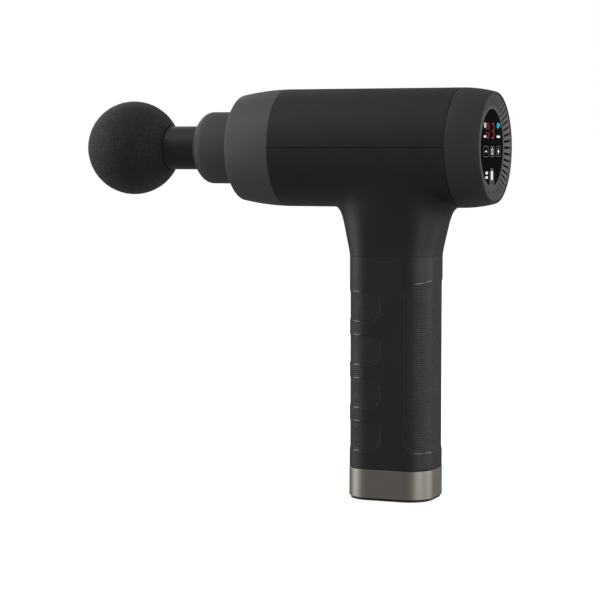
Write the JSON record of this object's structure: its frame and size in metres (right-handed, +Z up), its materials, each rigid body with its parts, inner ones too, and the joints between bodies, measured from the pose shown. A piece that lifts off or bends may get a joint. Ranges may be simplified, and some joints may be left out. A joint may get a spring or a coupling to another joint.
{
  "type": "massage gun",
  "caption": "Handheld percussion massage gun: black T-shaped body with a ball head on a reciprocating shaft, digital display with keys, ribbed grip and metal base.",
  "frame": {"origin": "on the flat base under the handle, which it stands on, directly below the crank's axis", "axes": "+Z up the handle, +X along the barrel from the ball head towards the display, and +Y completes the right-handed frame: to the right as the display is faced"},
  "size_m": [0.2321, 0.062, 0.2144],
  "materials": {
    "barrel_plastic": "matte",
    "grey_plastic": "matte",
    "grille_plastic": "satin",
    "handle_plastic": "matte",
    "stem_plastic": "satin",
    "black_plastic": "matte",
    "grip_rubber": "matte",
    "seal_rubber": "matte",
    "foam": "matte",
    "satin_metal": "satin",
    "display_glass": "gloss",
    "key_gloss": "gloss",
    "light_pipe": "satin",
    "circuit_board": "satin",
    "nylon": "satin",
    "drive_alloy": "satin",
    "steel": "satin",
    "stator_iron": "satin",
    "cell_case": "satin"
  },
  "bodies": {
    "housing": {"upper_housing": "barrel_plastic", "lower_housing": "barrel_plastic", "nose_cap": "grey_plastic", "front_collar": "grey_plastic", "rear_cap": "grey_plastic", "vent_grille": "grille_plastic", "status_light": "light_pipe", "display_lens": "display_glass", "display_carrier": "black_plastic", "display_board": "circuit_board", "control_board": "circuit_board", "fan_frame": "black_plastic", "drive_chassis": "drive_alloy", "guide_sleeve": "nylon", "motor_mount": "drive_alloy", "motor_screw_1": "steel", "motor_screw_2": "steel", "motor_screw_3": "steel", "motor_screw_4": "steel", "stator_core": "stator_iron", "handle_shell": "handle_plastic", "finger_pad_1": "grip_rubber", "finger_pad_2": "grip_rubber", "finger_pad_3": "grip_rubber", "finger_pad_4": "grip_rubber", "rear_grip_pad": "grip_rubber", "battery_cell_1": "cell_case", "battery_cell_2": "cell_case", "battery_cell_3": "cell_case", "cell_tray_lower": "black_plastic", "cell_tray_upper": "black_plastic", "battery_board": "circuit_board", "base_band": "satin_metal", "base_plate": "black_plastic", "base_screw_1": "steel", "base_screw_2": "steel", "base_screw_3": "steel", "base_screw_4": "steel", "charging_jack": "black_plastic", "jack_pin": "steel"},
    "percussion_drive": {"percussion_shaft": "drive_alloy", "drive_yoke": "drive_alloy", "yoke_cross_pin": "steel"},
    "head": {"massage_ball": "foam", "head_stem": "stem_plastic", "stem_o_ring": "seal_rubber"},
    "crank": {"crank_disc": "steel", "crank_pin": "steel", "roller_clip": "steel", "motor_shaft": "steel", "motor_bell": "steel"},
    "roller": {"crank_roller": "nylon"},
    "fan": {"fan_rotor": "black_plastic"},
    "minus_button": {"minus_key": "key_gloss"},
    "power_button": {"power_key": "key_gloss"},
    "plus_button": {"plus_key": "key_gloss"},
    "rocker": {"power_rocker": "black_plastic"}
  },
  "joints": [
    {"name": "crank_spin", "type": "hinge", "parent": "housing", "child": "crank", "pos_m": [0, 0, 0.1834], "axis": [0, 0, 1], "range_deg": [-70, 70]},
    {"name": "head_stroke", "type": "slide", "parent": "housing", "child": "percussion_drive", "axis": [-1, 0, 0], "range_m": [-0.0058, 0.0058]},
    {"name": "roller_spin", "type": "hinge", "parent": "crank", "child": "roller", "pos_m": [0, 0.006, 0.1834], "axis": [0, 0, 1], "continuous": true},
    {"name": "head_release", "type": "slide", "parent": "percussion_drive", "child": "head", "axis": [-1, 0, 0], "range_m": [0, 0.035]},
    {"name": "fan_spin", "type": "hinge", "parent": "housing", "child": "fan", "pos_m": [0.0279, 0, 0.1834], "axis": [1, 0, 0], "continuous": true},
    {"name": "minus_press", "type": "slide", "parent": "housing", "child": "minus_button", "axis": [-1, 0, 0], "range_m": [0, 0.0004], "stiffness_N_per_m": 1000, "springref_m": -0.0005},
    {"name": "power_press", "type": "slide", "parent": "housing", "child": "power_button", "axis": [-1, 0, 0], "range_m": [0, 0.0004], "stiffness_N_per_m": 1000, "springref_m": -0.0005},
    {"name": "plus_press", "type": "slide", "parent": "housing", "child": "plus_button", "axis": [-1, 0, 0], "range_m": [0, 0.0004], "stiffness_N_per_m": 1000, "springref_m": -0.0005},
    {"name": "rocker_tilt", "type": "hinge", "parent": "housing", "child": "rocker", "pos_m": [-0.00855, 0, 0.005], "axis": [0, 1, 0], "range_deg": [-14, 0]}
  ],
  "couplings": [
    {"joint": "crank_spin", "follows": "head_stroke", "rad_per_m": 210.53}
  ]
}
